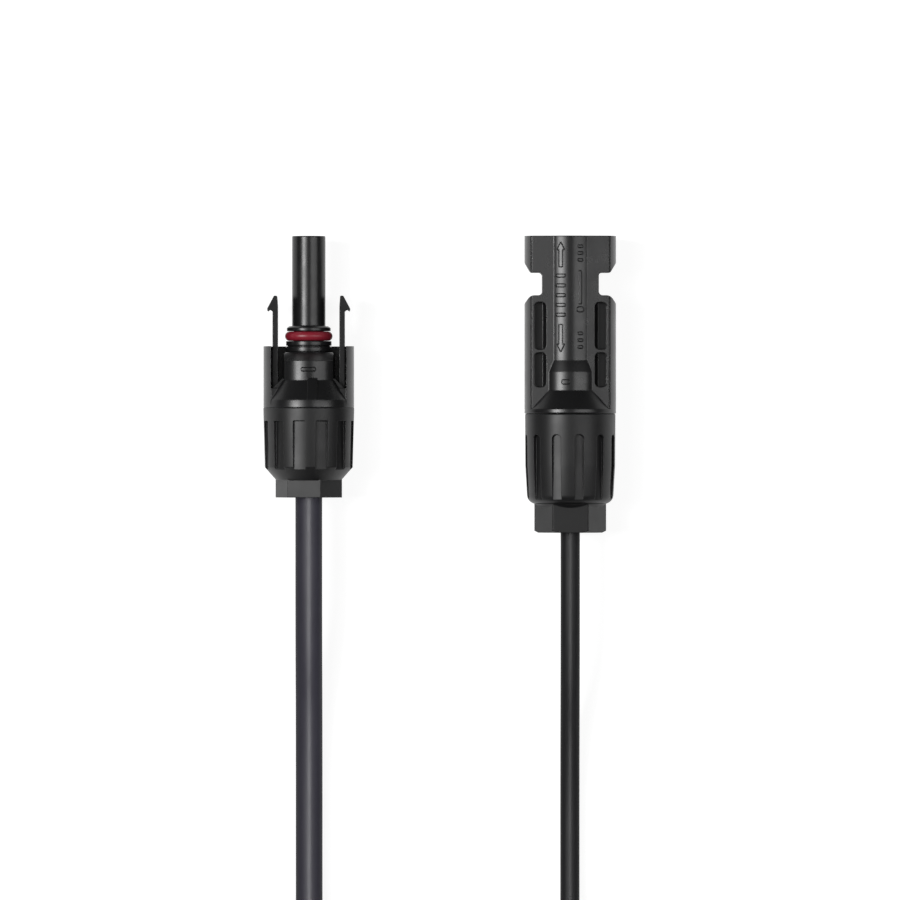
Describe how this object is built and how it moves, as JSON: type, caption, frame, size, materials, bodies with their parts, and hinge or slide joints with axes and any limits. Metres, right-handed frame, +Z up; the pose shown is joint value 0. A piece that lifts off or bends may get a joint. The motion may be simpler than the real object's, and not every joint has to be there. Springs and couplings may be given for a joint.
{
  "type": "solar cable connector pair",
  "caption": "Pair of latching single-pole solar cable connectors, a plug with a red sealing ring and a receptacle, each with a gland nut and its own coiled lead.",
  "frame": {"origin": "on the surface, midway between the two connector axes and midway along the longer connector", "axes": "+X across the pair from the plug to the receptacle, +Y along both axes towards the mating ends, +Z up from the surface"},
  "size_m": [0.0771, 0.2679, 0.0188],
  "materials": {
    "housing_plastic": "satin",
    "nut_plastic": "satin",
    "cage_plastic": "satin",
    "ring_rubber": "satin",
    "seal_rubber": "matt",
    "contact_metal": "tin plated",
    "spring_metal": "bare spring metal",
    "strand_metal": "tinned strands",
    "insulation_plastic": "satin",
    "thick_jacket": "satin",
    "thin_jacket": "satin",
    "strap_fabric": "woven"
  },
  "bodies": {
    "plug": {"plug_housing": "housing_plastic", "plug_o_ring": "ring_rubber", "plug_socket_contact": "contact_metal", "plug_contact_spring": "spring_metal", "plug_contact_clip": "spring_metal", "plug_conductor": "strand_metal", "plug_wire_insulation": "insulation_plastic", "plug_gland_seal": "seal_rubber", "plug_cable": "thick_jacket", "plug_cable_coil": "thick_jacket", "plug_cable_strap": "strap_fabric", "plug_cable_tail": "thick_jacket", "plug_end_insulation": "insulation_plastic", "plug_end_strands": "strand_metal"},
    "latch_left": {"plug_latch_left": "housing_plastic"},
    "latch_right": {"plug_latch_right": "housing_plastic"},
    "plug_clamp": {"plug_clamp_cage": "cage_plastic"},
    "plug_nut": {"plug_gland_nut": "nut_plastic"},
    "receptacle": {"receptacle_housing": "housing_plastic", "receptacle_pin_contact": "contact_metal", "receptacle_contact_clip": "spring_metal", "receptacle_conductor": "strand_metal", "receptacle_wire_insulation": "insulation_plastic", "receptacle_gland_seal": "seal_rubber", "receptacle_cable": "thin_jacket", "receptacle_cable_coil": "thin_jacket", "receptacle_cable_strap": "strap_fabric", "receptacle_cable_tail": "thin_jacket", "receptacle_end_insulation": "insulation_plastic", "receptacle_end_strands": "strand_metal"},
    "receptacle_clamp": {"receptacle_clamp_cage": "cage_plastic"},
    "receptacle_nut": {"receptacle_gland_nut": "nut_plastic"}
  },
  "joints": [
    {"name": "latch_left_flex", "type": "hinge", "parent": "plug", "child": "latch_left", "pos_m": [-0.03365, -0.0005, 0.0094], "axis": [0, 0, -1], "range_deg": [0, 5.5], "stiffness_Nm_per_rad": 0.2},
    {"name": "latch_right_flex", "type": "hinge", "parent": "plug", "child": "latch_right", "pos_m": [-0.01995, -0.0005, 0.0094], "axis": [0, 0, 1], "range_deg": [0, 5.5], "stiffness_Nm_per_rad": 0.2},
    {"name": "plug_clamp_slide", "type": "slide", "parent": "plug", "child": "plug_clamp", "axis": [0, -1, 0], "range_m": [0, 0.008]},
    {"name": "plug_nut_turn", "type": "hinge", "parent": "plug_clamp", "child": "plug_nut", "pos_m": [-0.0268, -0.0142, 0.0094], "axis": [0, -1, 0], "range_deg": [0, 1440]},
    {"name": "receptacle_lift", "type": "slide", "parent": "plug", "child": "receptacle", "axis": [0, 0, 1], "range_m": [0, 0.1]},
    {"name": "receptacle_clamp_slide", "type": "slide", "parent": "receptacle", "child": "receptacle_clamp", "axis": [0, -1, 0], "range_m": [0, 0.008]},
    {"name": "receptacle_nut_turn", "type": "hinge", "parent": "receptacle_clamp", "child": "receptacle_nut", "pos_m": [0.0268, -0.0184, 0.0094], "axis": [0, -1, 0], "range_deg": [0, 1440]}
  ],
  "couplings": [
    {"joint": "plug_nut_turn", "follows": "plug_clamp_slide", "rad_per_m": 3141.6},
    {"joint": "receptacle_nut_turn", "follows": "receptacle_clamp_slide", "rad_per_m": 3141.6}
  ]
}
